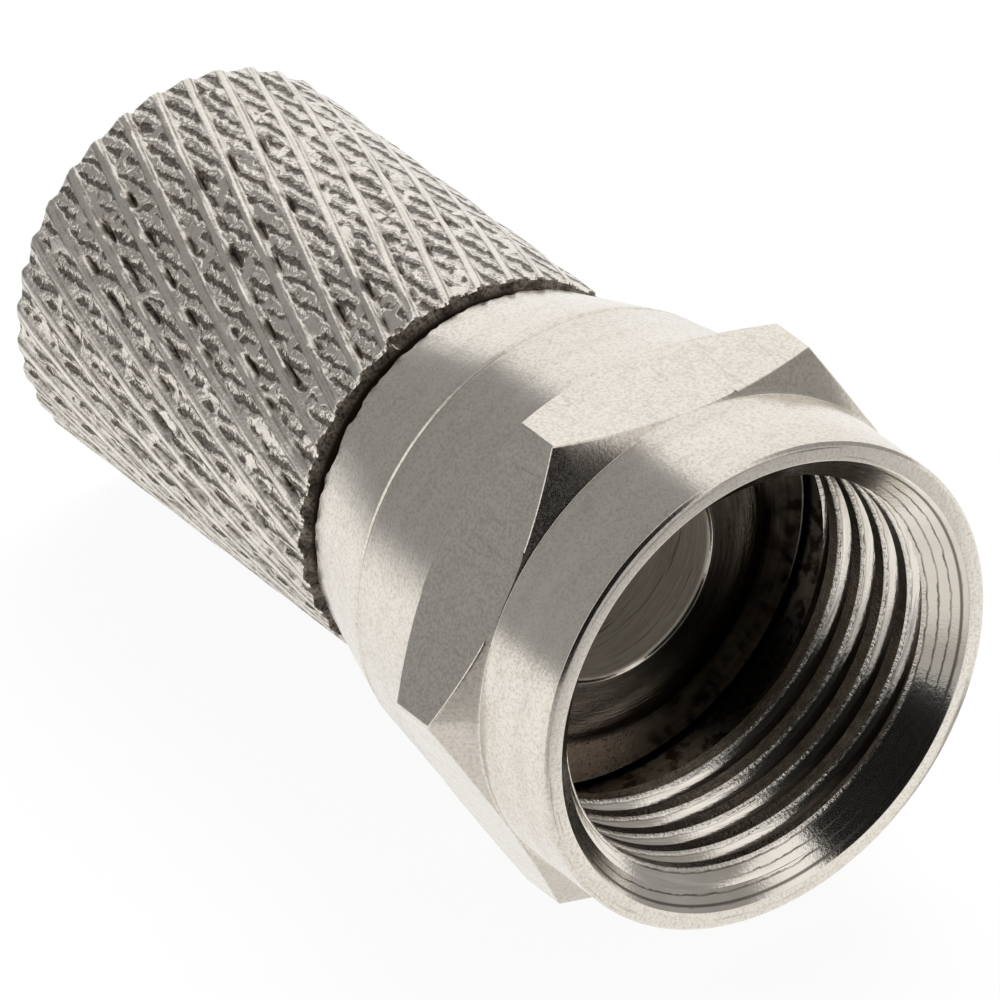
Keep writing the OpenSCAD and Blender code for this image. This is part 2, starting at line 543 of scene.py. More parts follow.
class Plating(Nodes):
    """Nodes of a nickel-plated material, with the values that its look is made of."""

    def __init__(self, finish, name, gloss, rings_per_mm=8.0):
        self.material = bpy.data.materials.new(name)
        super().__init__(emptied(self.material))
        self.finish = finish
        self.gloss = gloss
        coordinates = self.add("TexCoord").outputs
        self.place = coordinates["Object"]
        self.facing = self.add("SeparateXYZ", coordinates["Normal"]).outputs[0]
        self.depth, self.radius, self.turn = self.group("connector_axis", self.place)
        self.marks, self.bands = self.group("turning_marks", self.place, rings_per_mm)
        self.patches, self.grain, self.pits = self.group("plating_mottle", self.place)

    def drawn(self, per_mm, detail, roughness):
        """Noise of this fineness along x, y and z."""
        stretched = self.add("Mapping", self.place, None, None, per_mm)
        return self.noise(stretched, 1 / MM, detail, roughness)

    def metal(self, dull):
        """Nickel, from clean to dull."""
        return self.mix(dull, self.finish.nickel, self.finish.nickel_dull)

    def shaded_and_dirty(self, shade_and_dirt, colour):
        """A colour darkened towards the residue colour, by painted shade and by dirt."""
        return self.mix(shade_and_dirt, colour, self.finish.shade_and_residue)

    def plated(self, base, rough, height, height_mm, grime_and_painted_light=0.0):
        """The material with this colour, roughness on top of its gloss, and height in shares
        of height_mm. Grime, painted shade and a painted highlight hide the metal."""
        bump = self.fill(self.add("Bump"), {
            "Strength": 1.0, "Distance": height_mm * MM, "Height": height,
        })
        shader = self.fill(self.add("BsdfPrincipled"), {
            "Metallic": self.spread(grime_and_painted_light, 0.0, 1.0, 1.0, 0.0, "LINEAR"),
            "Base Color": base,
            "Roughness": self.plus(rough, self.gloss),
            "Normal": bump,
        })
        self.add("OutputMaterial", shader)
        return self.material


def turned_material(finish, m):
    """Turned outside of the nut: fine rings, faint bands and small pits. The rim's rings get
    painted shade, and the front chamfer outside the collar gets painted shade and a brown tint."""
    n = Plating(finish, "turned_nickel", finish.gloss_turned, 7.0)
    dull = n.plus(n.spread(n.patches, 0.42, 0.7, 0.0, 0.15), n.spread(n.bands, 0.3, 0.7, 0.0, 0.2),
                  n.spread(n.grain, 0.42, 0.68, 0.0, 0.5))
    # Painted shade in the turning grooves of the rim.
    ring_shade = n.times(n.spread(n.marks, 0.46, 0.34, 0.0, 0.6), n.spread(n.facing, 0.7, 0.9))
    # Painted shade on the front chamfer outside the collar, with a brown tint over it.
    chamfer_shade = n.times(n.spread(n.radius, m.collar_r, m.collar_r + 0.06),
                      n.spread(n.facing, 0.3, 0.5))
    oil_and_shade = n.times(chamfer_shade, n.spread(n.grain, 0.4, 0.6, 0.1, 0.03))
    shade_and_dirt = n.most(ring_shade, n.times(n.pits, 0.5), n.times(chamfer_shade, 0.22))
    base = n.mix(oil_and_shade, n.shaded_and_dirty(shade_and_dirt, n.metal(dull)), finish.film)
    rough = n.spread(n.grain, 0.3, 0.75, -0.03, 0.05)
    height = n.plus(n.times(n.marks, 0.6), n.times(n.grain, 0.4))
    return n.plated(base, rough, height, 0.006, oil_and_shade)


def flat_material(finish):
    """Flats of the hexagon: drawn bar, with fine lines and a few scratches along it."""
    n = Plating(finish, "flat_nickel", finish.gloss_flat)
    lines = n.drawn((0.5, 8.0, 8.0), 3.0, 0.6)
    scratch = n.spread(n.off(n.drawn((0.2, 1.3, 1.3), 1.5, 0.5), 0.5), 0.008, 0.0)
    dull = n.plus(n.spread(n.patches, 0.42, 0.7, 0.0, 0.15),
                  n.spread(n.grain, 0.38, 0.65, 0.0, 0.5), n.times(scratch, 0.35))
    rough = n.spread(lines, 0.3, 0.7, -0.03, 0.05)
    height = n.plus(n.times(lines, 0.3), n.times(n.grain, 0.4), n.times(scratch, -0.15))
    return n.plated(n.metal(dull), rough, height, 0.006)


def threaded_material(finish, m):
    """Inside of the nut. The flanks that face the mouth are clean, and the roots, the crests and
    the faces behind them get painted shade, as do the turning rings. The countersink has wavy
    rings with painted shade, and a painted dark line along the rim."""
    n = Plating(finish, "threaded_nickel", finish.gloss_inside, 9.0)
    # Painted shade on faces turned away from the mouth, deeper towards the thread roots.
    hidden_shade = n.spread(n.facing, 0.6, 0.2)
    root_shade = n.spread(n.radius, m.thread_crest_r, m.thread_r, 0.5, 1.0)
    patchy = n.spread(n.patches, 0.35, 0.65, 0.55, 1.0)
    # Painted shade on the flanks that face the rear.
    back_shade = n.spread(n.facing, -0.1, -0.4, 0.0, 0.95)
    # Painted shade in the turning grooves.
    ring_shade = n.spread(n.marks, 0.46, 0.3, 0.0, 0.55)
    # Painted dark line of shade along the rim.
    rim_shade_line = n.times(n.spread(n.off(n.radius, m.mouth_r - 0.04), 0.035, 0.01), 0.75)
    sunk = n.times(n.spread(n.facing, 0.6, 0.66), n.spread(n.facing, 0.82, 0.76))
    groove_every = 0.17
    wavy = n.plus(n.math("DIVIDE", n.radius, groove_every), n.times(n.patches, 0.5))
    # Painted shade in the wavy grooves of the countersink.
    groove_shade = n.spread(n.off(n.math("FRACT", wavy), 0.5), 0.13, 0.04, 0.0, 0.8)
    shade_and_dirt = n.most(n.times(hidden_shade, root_shade, patchy), back_shade, ring_shade, rim_shade_line,
                  n.times(groove_shade, sunk, patchy))
    base = n.shaded_and_dirty(shade_and_dirt, n.metal(n.spread(n.marks, 0.42, 0.62, 0.0, 0.6)))
    burr = n.spread(n.radius, m.thread_crest_r + 0.08, m.thread_crest_r + 0.02, 0.4, 3.0)
    height = n.plus(n.times(n.marks, 0.8), n.times(n.grain, burr))
    return n.plated(base, n.times(shade_and_dirt, 0.2), height, 0.008)


def bored_material(finish, m):
    """Flange face and bores of the body: turning marks with painted shade, painted shade over the
    flange face outside the core bore, a brown film on one side of the flange outside its land, with
    less of it opposite, a painted highlight along the flange's edge, and a duller core bore."""
    n = Plating(finish, "bored_nickel", finish.gloss_inside, 9.0)
    film_turn = 0.6
    toward = n.math("COSINE", n.times(n.minus(n.turn, film_turn), math.tau))
    sides = n.plus(n.spread(toward, 0.3, 0.8), n.spread(toward, -0.8, -0.97, 0.0, 0.5))
    film = n.times(n.spread(n.radius, m.land_r - 0.1, m.land_r + 0.15),
                   n.spread(n.radius, m.flange_r - 0.02, m.flange_r - 0.08), sides,
                   n.spread(n.grain, 0.3, 0.6, 0.5, 1.0))
    # Painted highlight: bright, unmetallic nickel colour along the flange's edge on two opposite
    # sides.
    edge_highlight = n.times(n.spread(n.off(n.radius, m.flange_r - 0.03), 0.045, 0.02),
                   n.spread(n.math("ABSOLUTE", toward), 0.4, 0.8))
    core = n.spread(n.radius, m.core_bore_r + 0.05, m.core_bore_r + 0.01)
    # Painted shade in the turning grooves.
    ring_shade = n.spread(n.marks, 0.5, 0.34, 0.0, 0.7)
    # Painted shade over the flange face outside the core bore.
    oil_and_shade = n.spread(n.radius, m.core_bore_r + 0.08, m.core_bore_r + 0.2, 0.0, 0.55)
    base = n.shaded_and_dirty(n.most(ring_shade, oil_and_shade), n.metal(n.spread(n.marks, 0.38, 0.6, 0.0, 1.0)))
    base = n.mix(edge_highlight, n.mix(film, base, finish.film), finish.nickel)
    rough = n.plus(n.times(film, 0.3), n.times(core, 0.4))
    height = n.times(n.plus(n.times(n.marks, 0.8), n.times(n.grain, 0.5)),
                     n.spread(core, 0.0, 1.0, 0.5, 1.0))
    grime_and_painted_light = n.most(n.plus(n.times(film, 0.85), n.times(core, 0.9)), n.times(edge_highlight, 0.9))
    return n.plated(base, rough, height, 0.012, grime_and_painted_light)


def knurl_material(finish, s):
    """Knurled ridges: clean, rubbed tops with a painted shadow line along each side, short strokes
    pressed into the wide flanks with painted shade in their low parts, and painted shade in the
    slots and valleys where the stored attribute says."""
    m = in_mm(s)
    pitch = ridge_pitch(s)
    lean = math.tan(m.knurl_lean) / (m.sleeve_d * math.pi)
    stroke_every = 0.7 * m.knurl_row
    beside_top = m.ridge_land / 2 + 0.035
    n = Plating(finish, "knurled_nickel", finish.gloss_knurl)
    along = n.minus((MOUTH_X - REAR_X) / MM, n.depth)
    turn = n.minus(n.turn, n.times(along, lean))
    side = n.math("FRACT", n.times(n.plus(turn, 1.25), m.knurl_count))
    wave = n.plus(n.math("DIVIDE", along, stroke_every), n.times(side, 3.0 * pitch),
                  n.times(n.patches, 1.1))
    wave = n.math("SINE", n.times(wave, math.tau))
    flank = n.times(n.spread(side, 0.08, 0.18), n.spread(side, 0.84, 0.74))
    present = n.spread(n.noise(n.place, 2.2 / MM, 2.0, 0.5), 0.36, 0.5)
    strokes = n.times(wave, flank, present)
    # Painted shade in the low parts of the pressed strokes.
    low = n.spread(strokes, 0.0, -0.6, 0.0, 0.9)
    from_top = n.times(n.math("MINIMUM", side, n.minus(1.0, side)), pitch)
    # Painted shadow line beside each ridge top.
    ridge_side_shadow = n.times(n.spread(n.off(from_top, beside_top), 0.04, 0.01),
                     n.spread(n.patches, 0.35, 0.6, 0.25, 0.65))
    # Painted shade of the slots and valleys, stored on the mesh.
    recess_shade = n.add("Attribute", attribute_name="recess_shade").outputs["Fac"]
    shade_and_dirt = n.times(n.most(recess_shade, low, ridge_side_shadow), n.spread(n.grain, 0.3, 0.6, 0.75, 1.0),
                   n.spread(n.depth, m.sleeve_front + 0.05, m.sleeve_front + 0.12))
    dull = n.plus(n.spread(n.grain, 0.48, 0.7, 0.0, 0.4), n.spread(n.patches, 0.4, 0.7, 0.0, 0.2))
    height = n.plus(n.times(n.grain, 0.25), n.times(strokes, 0.7))
    return n.plated(n.shaded_and_dirty(shade_and_dirt, n.metal(dull)), n.times(shade_and_dirt, 0.4), height, 0.045,
                    n.times(shade_and_dirt, 0.3))


def shaded_shoulder_material(finish, m):
    """Front face of the sleeve and the neck: dull, with painted shade all over, darkest deep in the
    gap.
    """
    n = Plating(finish, "shaded_shoulder_nickel", finish.gloss_turned)
    # Painted shade deep in the gap by the neck.
    gap_shade = n.spread(n.radius, m.neck_r + 0.6, m.neck_r + 0.35)
    # Painted shade over the whole face, varied by the grain.
    shade_and_dirt = n.most(gap_shade, n.spread(n.grain, 0.35, 0.6, 0.95, 0.6))
    return n.plated(n.shaded_and_dirty(shade_and_dirt, finish.nickel_dull), 0.3, n.grain, 0.008, 0.4)


# Coupling nut ---------------------------------------------------------------------------


def nut_outline(m):
    """Closed outline of the turned nut, from the rim over the outside and back through the
    bore, in millimetres. The hexagon is left standing as a ring that the bar cuts down."""
    flat_r = m.across_flats / 2
    bar_r = flat_r / math.cos(math.radians(30)) + 0.05
    front_at = m.collar_len + (bar_r - m.collar_r) * math.tan(m.front_chamfer)
    rear_at = m.hex_rear - (bar_r - flat_r) * math.tan(m.rear_chamfer)
    rim, bend, lip_break, lip_land, relief_end, runout = 0.07, 0.07, 0.06, 0.45, 6.24, 0.25
    return [
        (rim, m.mouth_r, 0.02),
        (0.0, m.mouth_r + rim, 0.03),
        (0.0, m.collar_r - rim, 0.03),
        (rim, m.collar_r, 0.03),
        (m.collar_len, m.collar_r, 0.02),
        (front_at, bar_r, 0),
        (rear_at, bar_r, 0),
        (m.hex_rear, flat_r - 0.003, 0.02),
        (m.crease_at - bend, m.crease_r + 0.004, 0.1),
        (m.crease_at, m.crease_r - 0.035, 0.03),
        (m.crease_at + bend, m.crease_r - 0.012, 0.04),
        (m.nut_len - lip_break, m.lip_outer_r, 0.03),
        (m.nut_len, m.lip_outer_r - lip_break, 0.02),
        (m.nut_len, m.lip_bore_r, 0.04),
        (m.nut_len - lip_land, m.lip_bore_r, 0),
        (relief_end, m.relief_r, 0.1),
        (m.thread_end + runout, m.relief_r, 0.05),
        (m.thread_end, m.thread_crest_r, 0.02),
        (m.mouth_r - m.thread_crest_r + rim, m.thread_crest_r, 0.02),
    ]


class MESH_OT_connector_coupling_nut(bpy.types.Operator):
    """Turn the coupling nut, mill its hexagon and cut its thread"""

    bl_idname = "mesh.connector_coupling_nut"
    bl_label = "Coupling nut"
    bl_options = {"REGISTER", "UNDO"}

    def execute(self, context):
        s = context.scene.connector_nut
        m = in_mm(s)
        finish = context.scene.connector_finish
        nut = lathe("threaded_coupling_nut", rounded(nut_outline(m)))
        self.mill_hexagon(nut, s)
        self.cut_thread(nut, s)
        self.roll_lip(nut, s)
        materials = {
            "turned": turned_material(finish, m),
            "flat": flat_material(finish),
            "inside": threaded_material(finish, m),
        }

        def chosen(depth, radius, forward, outward):
            between_ends = 0.1 < depth < m.nut_len - 0.1
            if outward < -0.05 or (radius < m.mouth_r - 0.02 and between_ends and outward < 0.5):
                return "inside"
            if abs(forward) < 0.01 and radius >= m.across_flats / 2 - 0.01 and outward > 0.8:
                return "flat"
            return "turned"

        paint(nut, materials, chosen)
        shade(nut, 32)
        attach(nut, "nut")
        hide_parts("coupling_nut")
        return {"FINISHED"}

    def mill_hexagon(self, nut, s):
        """Keeps what lies inside a hexagon bar, and breaks the edges of the flats."""
        flat_r = s.across_flats / 2
        deselect_all()
        bpy.ops.mesh.primitive_cylinder_add(
            vertices=6, radius=flat_r / math.cos(math.radians(30)), depth=30 * MM,
            location=(MOUTH_X - s.nut_len / 2, 0, 0), rotation=(0, math.pi / 2, 0),
        )
        bar = added("hexagon_bar")
        if max(v.co.z for v in bar.data.vertices) > flat_r * 1.05:
            raise RuntimeError("the hexagon bar stands on a corner")
        combine(nut, bar, "INTERSECT")
        near = 0.08 * MM

        def on_flat_edge(edge):
            flats = [
                f for f in edge.link_faces
                if abs(f.normal.x) < 0.01 and f.calc_center_median().yz.length > flat_r * 0.999
                and f.calc_area() > 1e-6
            ]
            if len(edge.link_faces) != 2 or not flats:
                return False
            return (edge.calc_face_angle(0.0) >= math.radians(10)
                    and min(v.co.yz.length for v in edge.verts) > flat_r + near)

        edit(nut)
        if not pick(nut, "EDGE", on_flat_edge):
            raise RuntimeError("no edges of the hexagon found")
        bpy.ops.mesh.bevel(offset=s.edge_break, segments=2, profile=0.5, affect="EDGES",
                           clamp_overlap=False)
        leave_edit()
        clean(nut)

    def cut_thread(self, nut, s):
        """Cuts the coupling thread through the countersink down to the relief."""
        before_mouth, past_end = 0.85 * MM, 0.6 * MM
        turns = math.ceil((before_mouth + s.thread_end + past_end) / s.thread_pitch)
        tool = thread_cutter("thread_tool", -before_mouth, turns, s.thread_pitch,
                             s.thread_crest_d / 2, s.thread_d / 2, s.thread_pitch / 40)
        combine(nut, tool, "DIFFERENCE")

    def roll_lip(self, nut, s):
        """Makes the edge of the rolled lip ragged, as rolling leaves it."""
        start = s.nut_len - 0.1 * MM
        slope = (s.crease_d - s.lip_outer_d) / 2 / (s.nut_len - s.crease_at)
        waves = ((1.0, 96, 21), (0.5, 19, 22), (0.7, TURN_STEPS, 24))
        for vertex in nut.data.vertices:
            x, y, z = vertex.co
            radius = math.hypot(y, z)
            if MOUTH_X - x <= start or radius < s.lip_bore_d / 2 + 0.1 * MM:
                continue
            turn = math.atan2(z, y) / math.tau + 1
            wave = sum(height * float(smooth_noise(turn * cells, 0.5, seed, cells))
                       for height, cells, seed in waves)
            back = min(max(0.45 - 0.7 * wave, 0.0), 1.0) * s.lip_waviness
            grow = 1 + back * slope / radius
            vertex.co = (x + back, y * grow, z * grow)


# Knurled body ---------------------------------------------------------------------------


# Places of the mesh columns across one ridge pitch: land, wide flank, valley, steep flank.
RIDGE_COLUMNS = (0.0, 0.06, 0.13, 0.21, 0.3, 0.39, 0.48, 0.57, 0.65, 0.75, 0.85, 0.94)

# The sleeve is divided into this many spans along its length, and each of them into this many.
KNURL_SPANS = (15, 12)


def smooth_noise(u, v, seed, period):
    """Smooth noise between -1 and 1 on a grid that repeats after period cells along u."""
    draw = np.random.default_rng(seed)
    rows = int(np.max(v)) + 3
    grid = draw.uniform(-1, 1, (rows, period))
    i, j = np.floor(u).astype(int), np.floor(v).astype(int)
    fu, fv = u - i, v - j
    fu, fv = fu * fu * (3 - 2 * fu), fv * fv * (3 - 2 * fv)
    a = grid[j, i % period] * (1 - fu) + grid[j, (i + 1) % period] * fu
    b = grid[j + 1, i % period] * (1 - fu) + grid[j + 1, (i + 1) % period] * fu
    return a * (1 - fv) + b * fv


def unit(value):
    """The value, kept between 0 and 1."""
    return np.clip(value, 0, 1)


def tent(value, middle, width):
    """1 at the middle, falling to 0 at this width on both sides."""
    return unit(1 - np.abs(value - middle) / width)


def ridge_pitch(s):
    """Distance from ridge to ridge across the ridges, in millimetres."""
    return math.pi * s.sleeve_d / MM / s.knurl_count * math.cos(s.knurl_lean)


def knurl_surface(s, phase, along):
    """Depth below the ridge tops in millimetres, how much painted shade darkens the surface, from
    0 to 1, and the depth of the plain flanks. phase counts main ridges round the sleeve and along
    is the distance from the rear face. A ridge has a wide gentle flank on one side and a steep
    one on the other."""
    pitch = ridge_pitch(s)
    gentle_slope, steep_slope = 0.18, 0.6
    slot_depth, seam_depth, valley_depth, rough_depth = 0.2, 0.015, 0.02, 0.006

    def stray(per_ridge, cell, seed):
        return smooth_noise(phase * per_ridge, along / cell, seed, per_ridge * s.knurl_count)

    main = phase + 0.05 * stray(1, 0.9, 3)
    cross = phase + along * MM / s.knurl_row + 0.10 * stray(1, 0.7, 5)
    side = (main - np.floor(main)) * pitch
    step = cross - np.floor(cross)
    land = s.ridge_land / MM / 2 * (1 + 0.5 * stray(1, 0.8, 7))
    gentle = np.clip(side - land, 0, None) * gentle_slope
    steep = np.clip(pitch - side - land, 0, None) * steep_slope
    dip = s.cross_drop / MM * (1 + 0.6 * stray(1, 0.6, 9)) * unit(gentle / 0.03)
    dip *= 1 - np.abs(1 - 2 * unit((step - 0.1) / 0.75)) ** 1.6
    flank = np.minimum(gentle + dip, steep)

    middle = 0.76 * pitch - 0.1 * pitch * (step - 0.5)
    across = tent(side, middle, 0.085 * (1 + 0.45 * stray(1, 1.1, 17)))
    ends = unit(np.minimum(step - 0.12, 0.8 - step) / 0.2)
    slot = across * ends * unit(0.1 + 1.5 * stray(1, 1.0, 19))

    seam = tent(side, 0.03, 0.05) * unit(0.4 + stray(1, 0.7, 11))
    valley = tent(side, 0.8 * pitch, 0.05)
    rough = rough_depth * (1 + stray(2, 0.3, 13))
    depth = flank + slot_depth * slot + seam_depth * seam + valley_depth * valley + rough
    # Painted shade in the slots, and less of it in the valleys and along the seams.
    recess_shade = np.maximum(unit(3.0 * slot - 0.3), 0.4 * np.maximum(valley, seam))
    return np.clip(depth, 0, s.knurl_depth / MM), unit(recess_shade), flank


class MESH_OT_connector_knurled_body(bpy.types.Operator):
    """Turn the flanged neck and the bores, and roll the knurl on the sleeve"""

    bl_idname = "mesh.connector_knurled_body"
    bl_label = "Knurled body"
    bl_options = {"REGISTER", "UNDO"}

    def execute(self, context):
        s = context.scene.connector_body
        m = in_mm(s)
        finish = context.scene.connector_finish
        core_r = s.sleeve_d / 2 - s.knurl_depth - 0.06 * MM
        body = self.turn_core(s, m, core_r)
        sleeve = self.roll_knurl(s)
        make_active(body)
        sleeve.select_set(True)
        bpy.ops.object.join()
        self.close_ends(body, s, core_r)
        knurl_floor = (s.sleeve_d / 2 - s.knurl_depth) / MM - 0.005
        materials = {
            "knurl": knurl_material(finish, s),
            "bore": bored_material(finish, m),
            "shoulder": shaded_shoulder_material(finish, m),
            "turned": bpy.data.materials["turned_nickel"],
        }

        def chosen(depth, radius, forward, outward):
            behind = depth - m.sleeve_front
            if 0 < behind < 0.4 and forward > 0.45:
                return "shoulder"
            if behind > 0.001 and radius > knurl_floor and outward > 0.05:
                return "knurl"
            if depth < m.flange_rear + 0.01 or outward < -0.05:
                return "bore"
            if depth < m.sleeve_front + 0.01:
                return "shoulder"
            return "turned"

        paint(body, materials, chosen)
        shade(body, 40)
        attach(body, "sleeve_body")
        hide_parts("body")
        return {"FINISHED"}

    def turn_core(self, s, m, core_r):
        """Turns all but the knurl, then cuts the jacket thread and opens the outer wall."""
        end, outer = (MOUTH_X - REAR_X) / MM, core_r / MM
        bore_break = 0.08
        core = lathe("knurled_body", rounded([
            (m.seat_depth, m.core_bore_r + bore_break, 0.02),
            (m.seat_depth, m.land_r, 0.03),
            (m.seat_depth + m.land_drop, m.flange_r, 0.04),
            (m.flange_rear, m.flange_r, 0.05),
            (m.flange_rear, m.neck_r, 0.05),
            (m.sleeve_front, m.neck_r, 0.03),
            (m.sleeve_front, outer, 0),
            (end, outer, 0),
            (end, m.entry_r, 0.03),
            (end - m.entry_len, m.jacket_bore_r, 0.03),
            (m.jacket_start, m.jacket_bore_r, 0.05),
            (m.core_end, m.core_bore_r, 0.05),
            (m.seat_depth + bore_break, m.core_bore_r, 0.02),
        ]))
        before_end, past_end = 0.7 * MM, 1.0 * MM
        turns = math.ceil((end * MM - s.jacket_start - before_end + past_end) / s.jacket_pitch)
        start = end * MM + past_end - turns * s.jacket_pitch
        tool = thread_cutter("jacket_tool", start, turns, s.jacket_pitch, s.jacket_bore_d / 2,
                             s.jacket_root_d / 2, 0.18 * MM)
        combine(core, tool, "DIFFERENCE")
        edit(core)
        wall = core_r - 0.01 * MM
        pick(core, "FACE", lambda f: abs(f.normal.x) < 0.01
             and min(v.co.yz.length for v in f.verts) > wall
             and MOUTH_X - f.calc_center_median().x > s.sleeve_front)
        bpy.ops.mesh.delete(type="FACE")
        leave_edit()
        return core

    def roll_knurl(self, s):
        """A tube with many rings, whose points are pushed in where the knurling wheels bit."""
        columns = len(RIDGE_COLUMNS) * s.knurl_count
        sleeve_len = MOUTH_X - s.sleeve_front - REAR_X
        deselect_all()
        bpy.ops.mesh.primitive_cylinder_add(
            vertices=columns, radius=s.sleeve_d / 2, depth=sleeve_len, end_fill_type="NOTHING",
            location=(REAR_X + sleeve_len / 2, 0, 0), rotation=(0, math.pi / 2, 0),
        )
        sleeve = added("knurl")
        for spans in KNURL_SPANS:
            edit(sleeve)
            pick(sleeve, "EDGE", lambda e: abs(e.verts[0].co.x - e.verts[1].co.x) > MERGE)
            bpy.ops.mesh.subdivide(number_cuts=spans - 1)
            leave_edit()
        self.push_in_knurl(sleeve, s, columns, sleeve_len)
        return sleeve

    def push_in_knurl(self, sleeve, s, columns, sleeve_len):
        """Moves the points of the tube to the surface of the knurl, with a ragged front edge,
        and stores the painted shade of its slots and valleys."""
        mesh = sleeve.data
        places = np.empty(len(mesh.vertices) * 3)
        mesh.vertices.foreach_get("co", places)
        x, y, z = places.reshape(-1, 3).T
        column = np.round(np.arctan2(z, y) / math.tau * columns).astype(int) % columns
        per = len(RIDGE_COLUMNS)
        phase = column // per + np.array(RIDGE_COLUMNS)[column % per]
        along = (x - REAR_X) / MM
        depth, recess_shade, flank = knurl_surface(s, phase, along)
        from_front = sleeve_len / MM - along
        depth = depth + 0.05 * unit(1 - np.minimum(along, from_front) / 0.09)
        ragged = unit(smooth_noise(phase * 3, phase * 0 + 0.5, 23, 3 * s.knurl_count))
        short = 0.15 * unit(flank / 0.12) + 0.16 * ragged
        x -= short * unit(1 - from_front / 0.3) * MM
        radius = s.sleeve_d / 2 - depth * MM
        lean = math.tan(s.knurl_lean) / (s.sleeve_d / 2 / MM)
        turn = phase / s.knurl_count * math.tau + along * lean - math.pi / 2
        places = np.stack([x, radius * np.cos(turn), radius * np.sin(turn)], axis=1)
        mesh.vertices.foreach_set("co", places.ravel())
        # Stores the painted shade of the slots and valleys as a point attribute.
        mesh.attributes.new("recess_shade", "FLOAT", "POINT").data.foreach_set("value", recess_shade)
        mesh.update()

    def close_ends(self, body, s, core_r):
        """Bridges the ends of the knurl to the front and rear faces."""
        low = core_r - 0.01 * MM
        for depth in (s.sleeve_front, MOUTH_X - REAR_X):
            edit(body)
            found = pick(body, "EDGE", lambda e: e.is_boundary
                         and abs(MOUTH_X - e.verts[0].co.x - depth) < 1.0 * MM
                         and e.verts[0].co.yz.length > low)
            if not found:
                raise RuntimeError("an end of the sleeve has no open edge")
            bpy.ops.mesh.bridge_edge_loops()
            leave_edit()
        clean(body)
        edit(body)
        left = pick(body, "EDGE", lambda e: len(e.link_faces) != 2)
        leave_edit()
        if left:
            self.report({"WARNING"}, f"the knurled body has {left} open edges")


# Studio ---------------------------------------------------------------------------------


def lit_mix(n, level, plain, shown):
    """The shader shown to the camera and in reflections, mixed over the plain one."""
    path = n.add("LightPath").outputs
    seen = n.most(path["Is Camera Ray"], path["Is Glossy Ray"], path["Is Transmission Ray"])
    return n.add("MixShader", n.times(seen, level), plain, shown)


def screen_material(name, level, soft):
    """Cloth of a studio screen: an even glow that fades out over these shares of its width and
    height."""
    material = bpy.data.materials.new(name)
    n = Nodes(emptied(material))
    sides = n.add("SeparateXYZ", n.add("TexCoord").outputs["UV"]).outputs[:2]
    fade = n.times(*(n.spread(n.minus(0.5, n.off(side, 0.5)), 0.0, width)
                     for side, width in zip(sides, soft)))
    glow = n.add("Emission", (level, level, level, 1.0), 1.0)
    n.add("OutputMaterial", n.add("MixShader", fade, n.add("BsdfTransparent"), glow))
    return material


def screen(name, level, soft, place):
    """A curved cloth that only reflections see. place gives each point of it from two shares
    of its width and height."""
    deselect_all()
    bpy.ops.mesh.primitive_grid_add(x_subdivisions=24, y_subdivisions=16, size=1)
    obj = bpy.context.object
    obj.name = name
    for vertex in obj.data.vertices:
        vertex.co = place(vertex.co.x + 0.5, vertex.co.y + 0.5)
    obj.data.materials.append(screen_material(name, level, soft))
    obj.visible_camera = False
    obj.visible_diffuse = False
    obj.visible_shadow = False


def between(limits, part):
    """The value at this part of the way from the first limit to the second."""
    return limits[0] + part * (limits[1] - limits[0])


def upright(azimuths, elevations):
    """Places on a hanging screen round the connector, between these angles in degrees.
    Azimuth runs from +X towards +Y."""
    middle = Vector(((MOUTH_X + REAR_X) / 2, 0, 0))
    distance = 0.6

    def place(across, up):
        azimuth = math.radians(between(azimuths, across))
        elevation = math.radians(between(elevations, up))
        flat = distance * math.cos(elevation)
        return middle + Vector((flat * math.cos(azimuth), flat * math.sin(azimuth),
                                distance * math.sin(elevation)))

    return place


def lying(azimuths, distances, centre_x, floor_z):
    """Places on a cloth on the floor, between these azimuths in degrees and these distances
    from the point on the axis at centre_x. floor_z gives the height of the floor at an x."""

    def place(across, out):
        azimuth = math.radians(between(azimuths, across))
        reach = distances[0] * (distances[1] / distances[0]) ** out
        x = centre_x + reach * math.cos(azimuth)
        return Vector((x, reach * math.sin(azimuth), floor_z(x) + 0.2 * MM))

    return place


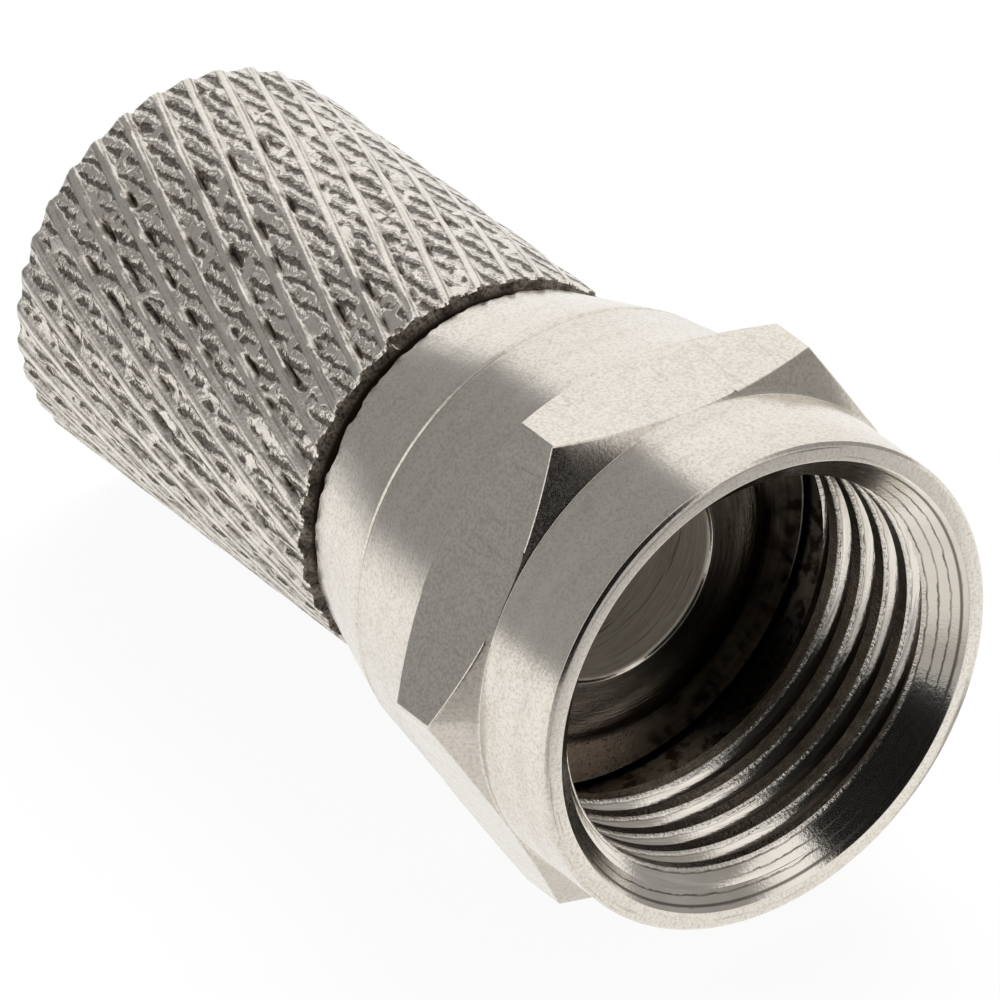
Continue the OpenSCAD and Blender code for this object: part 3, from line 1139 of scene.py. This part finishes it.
class SCENE_OT_connector_studio(bpy.types.Operator):
    """Set the floor, the soft light, the screens and the camera"""

    bl_idname = "scene.connector_studio"
    bl_label = "Studio"
    bl_options = {"REGISTER", "UNDO"}

    def execute(self, context):
        s = context.scene.connector_studio
        self.lay_floor(context.scene)
        self.light_room(context.scene, s)
        self.hang_screens(context.scene)
        self.place_camera(context.scene, s)
        context.scene.view_settings.view_transform = "Standard"
        return {"FINISHED"}

    def floor_line(self, scene):
        """The connector leans on the rear edge of its lower flat and on the sleeve's rear rim,
        so the floor slopes by that little against the axis."""
        nut, body = scene.connector_nut, scene.connector_body
        rest_x = MOUTH_X - nut.hex_rear
        rest_z = -nut.across_flats / 2
        rise = (-body.sleeve_d / 2 - rest_z) / (rest_x - REAR_X)
        return rest_x, rest_z, rise

    def lay_floor(self, scene):
        rest_x, rest_z, rise = self.floor_line(scene)
        deselect_all()
        bpy.ops.mesh.primitive_plane_add(size=6, location=(rest_x, 0, rest_z),
                                         rotation=(0, math.atan(rise), 0))
        floor = added("pale_floor")
        material = bpy.data.materials.new("pale_paper")
        n = Nodes(emptied(material))
        paper = n.add("BsdfDiffuse", (0.9, 0.9, 0.89, 1.0))
        white = n.add("Emission", (1.0, 1.0, 1.0, 1.0), 1.0)
        n.add("OutputMaterial", lit_mix(n, scene.connector_studio.floor_white, paper, white))
        floor.data.materials.append(material)

    def light_room(self, scene, s):
        """Even white room light and one large soft lamp, high at the back."""
        scene.world = bpy.data.worlds.new("room")
        n = Nodes(emptied(scene.world))
        room = n.add("Background", (1.0, 0.99, 0.97, 1.0), s.world_level)
        white = n.add("Background", (1.0, 1.0, 1.0, 1.0), 1.0)
        n.add("OutputWorld", lit_mix(n, 1.0, room, white))
        deselect_all()
        bpy.ops.object.light_add(type="AREA", location=(-0.35, 0.35, 0.55))
        lamp = bpy.context.object
        lamp.name = "soft_key"
        lamp.data.shape = "DISK"
        lamp.data.size = 0.5
        lamp.data.energy = s.key_power
        lamp.visible_glossy = False
        look = Vector((-0.01, 0, 0)) - lamp.location
        lamp.rotation_euler = look.to_track_quat("-Z", "Y").to_euler()

    def hang_screens(self, scene):
        """Grey and black cloths give the metal something to mirror."""
        screen("grey_side_screen", 0.305, (0.1, 0.16), upright((-195, -112), (-14, 86)))
        screen("black_camera_screen", 0.012, (0.06, 0.1), upright((-86, 11), (-8, 64)))
        screen("grey_far_screen", 0.36, (0.1, 0.12), upright((36, 96), (-12, 52)))
        rest_x, rest_z, rise = self.floor_line(scene)

        def floor_z(x):
            return rest_z + (rest_x - x) * rise

        screen("grey_side_cloth", 0.31, (0.12, 0.25),
               lying((-195, -118), (14 * MM, 2.5), (MOUTH_X + REAR_X) / 2, floor_z))
        screen("grey_front_cloth", 0.5, (0.12, 0.2),
               lying((-75, 55), (5 * MM, 2.5), MOUTH_X, floor_z))

    def place_camera(self, scene, s):
        deselect_all()
        bpy.ops.object.camera_add(location=s.camera_place)
        camera = bpy.context.object
        camera.name = "view"
        camera.rotation_euler = Vector(s.camera_look).to_track_quat("-Z", "Y").to_euler()
        camera.rotation_euler.rotate_axis("Z", s.camera_roll)
        camera.data.lens = s.lens
        camera.data.sensor_width = 36
        camera.data.clip_start = 0.01
        scene.camera = camera


# Panel and registration -----------------------------------------------------------------


GROUPS = {
    "connector_nut": (ConnectorNutSizes, "mesh.connector_coupling_nut"),
    "connector_body": (ConnectorBodySizes, "mesh.connector_knurled_body"),
    "connector_finish": (ConnectorFinish, None),
    "connector_studio": (ConnectorStudio, "scene.connector_studio"),
}


class VIEW3D_PT_connector(bpy.types.Panel):
    """Lists the pieces, their sizes and their finish"""

    bl_idname = "VIEW3D_PT_connector"
    bl_label = "Coaxial connector"
    bl_space_type = "VIEW_3D"
    bl_region_type = "UI"
    bl_category = "Connector"

    def draw(self, context):
        for group, (_, operator) in GROUPS.items():
            column = self.layout.column(align=True)
            if operator:
                column.operator(operator)
            settings = getattr(context.scene, group)
            for name in setting_names(settings):
                column.prop(settings, name)


CLASSES = (
    *(group for group, _ in GROUPS.values()),
    MESH_OT_connector_coupling_nut,
    MESH_OT_connector_knurled_body,
    SCENE_OT_connector_studio,
    VIEW3D_PT_connector,
)


def register():
    for cls in CLASSES:
        bpy.utils.register_class(cls)
    for name, (group, _) in GROUPS.items():
        setattr(bpy.types.Scene, name, bpy.props.PointerProperty(type=group))


def unregister():
    for name in GROUPS:
        delattr(bpy.types.Scene, name)
    for cls in reversed(CLASSES):
        bpy.utils.unregister_class(cls)


def main():
    register()
    axis_group()
    turning_group()
    mottle_group()
    bpy.ops.mesh.connector_coupling_nut()
    bpy.ops.mesh.connector_knurled_body()
    bpy.ops.scene.connector_studio()
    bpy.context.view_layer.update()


if __name__ == "__main__":
    main()
